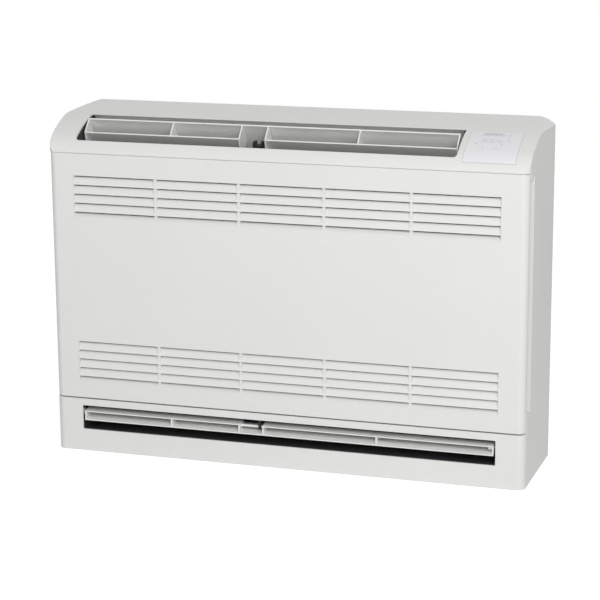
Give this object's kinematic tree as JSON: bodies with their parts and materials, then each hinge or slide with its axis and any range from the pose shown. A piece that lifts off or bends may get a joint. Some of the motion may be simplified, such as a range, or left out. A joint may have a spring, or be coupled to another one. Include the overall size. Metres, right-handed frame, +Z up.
{
  "type": "floor console air conditioner",
  "caption": "Low upright indoor air conditioner with a curved top, slatted front panel and twin-vane louvres over its upper and lower air outlets.",
  "frame": {"origin": "middle of the footprint on the floor: centre of the bounding box in X and Y, lowest point in Z", "axes": "+X to the viewer's right, +Y to the wall, +Z up"},
  "size_m": [0.86, 0.212, 0.606],
  "materials": {
    "casing_white": "satin",
    "panel_white": "satin",
    "plate_white": "satin",
    "vane_white": "satin",
    "chassis_white": "matt",
    "duct_grey": "matt",
    "black_plastic": "satin",
    "natural_plastic": "satin",
    "window_tint": "gloss",
    "lens_clear": "gloss",
    "filter_blue": "matt",
    "fan_grey": "satin",
    "foam_white": "matt",
    "board_green": "satin",
    "rubber": "matt",
    "steel": "satin",
    "zinc_steel": "satin",
    "aluminium": "satin",
    "copper": "satin",
    "brass": "satin"
  },
  "bodies": {
    "housing": {"casing": "casing_white", "control_plate": "plate_white", "receiver_window": "window_tint", "indicator_lenses": "lens_clear", "display_board": "board_green", "panel_hinge_brackets": "casing_white", "panel_catches": "casing_white", "upper_bearing": "black_plastic", "upper_bush": "natural_plastic", "upper_louvre_motor": "zinc_steel", "upper_duct": "duct_grey", "lower_bearing": "black_plastic", "lower_bush": "natural_plastic", "lower_louvre_motor": "zinc_steel", "lower_duct": "duct_grey", "louvre_motor_screws": "steel", "intake_frame": "duct_grey", "filter_left": "filter_blue", "filter_right": "filter_blue", "coil_fins": "aluminium", "coil_end_plates": "zinc_steel", "coil_tubes": "copper", "drain_pan": "foam_white", "drain_socket": "black_plastic", "thermistor": "copper", "liquid_pipe": "copper", "gas_pipe": "copper", "flare_nuts": "brass", "bell_mouth": "duct_grey", "fan_motor": "zinc_steel", "motor_cushion": "rubber", "motor_bracket": "zinc_steel", "motor_bracket_screws": "steel", "chassis": "chassis_white", "casing_screws": "steel", "wall_bracket": "zinc_steel", "control_box": "zinc_steel", "control_box_cover": "zinc_steel", "control_box_screws": "steel", "control_board": "board_green", "terminal_block": "natural_plastic"},
    "panel": {"front_panel": "panel_white"},
    "upper_vanes": {"upper_louvre": "vane_white", "upper_front_vane_left": "vane_white", "upper_front_vane_right": "vane_white", "upper_louvre_shaft": "steel"},
    "lower_vanes": {"lower_louvre": "vane_white", "lower_front_vane_left": "vane_white", "lower_front_vane_right": "vane_white", "lower_louvre_shaft": "steel"},
    "button": {"push_button": "plate_white"},
    "rotor": {"fan": "fan_grey", "fan_shaft": "steel", "fan_nut": "steel"}
  },
  "joints": [
    {"name": "panel_hinge", "type": "hinge", "parent": "housing", "child": "panel", "pos_m": [0, -0.1005, 0.1025], "axis": [1, 0, 0], "range_deg": [0, 30]},
    {"name": "upper_louvre_hinge", "type": "hinge", "parent": "housing", "child": "upper_vanes", "pos_m": [0, -0.0452, 0.545], "axis": [1, 0, 0], "range_deg": [-6, 78.6]},
    {"name": "lower_louvre_hinge", "type": "hinge", "parent": "housing", "child": "lower_vanes", "pos_m": [0, -0.0928, 0.0693], "axis": [1, 0, 0], "range_deg": [-100, 8]},
    {"name": "button_press", "type": "slide", "parent": "housing", "child": "button", "axis": [0, 0.4617, -0.887], "range_m": [0, 0.001], "stiffness_N_per_m": 600},
    {"name": "fan_spin", "type": "hinge", "parent": "housing", "child": "rotor", "pos_m": [-0.04, 0, 0.305], "axis": [0, 1, 0], "continuous": true}
  ]
}
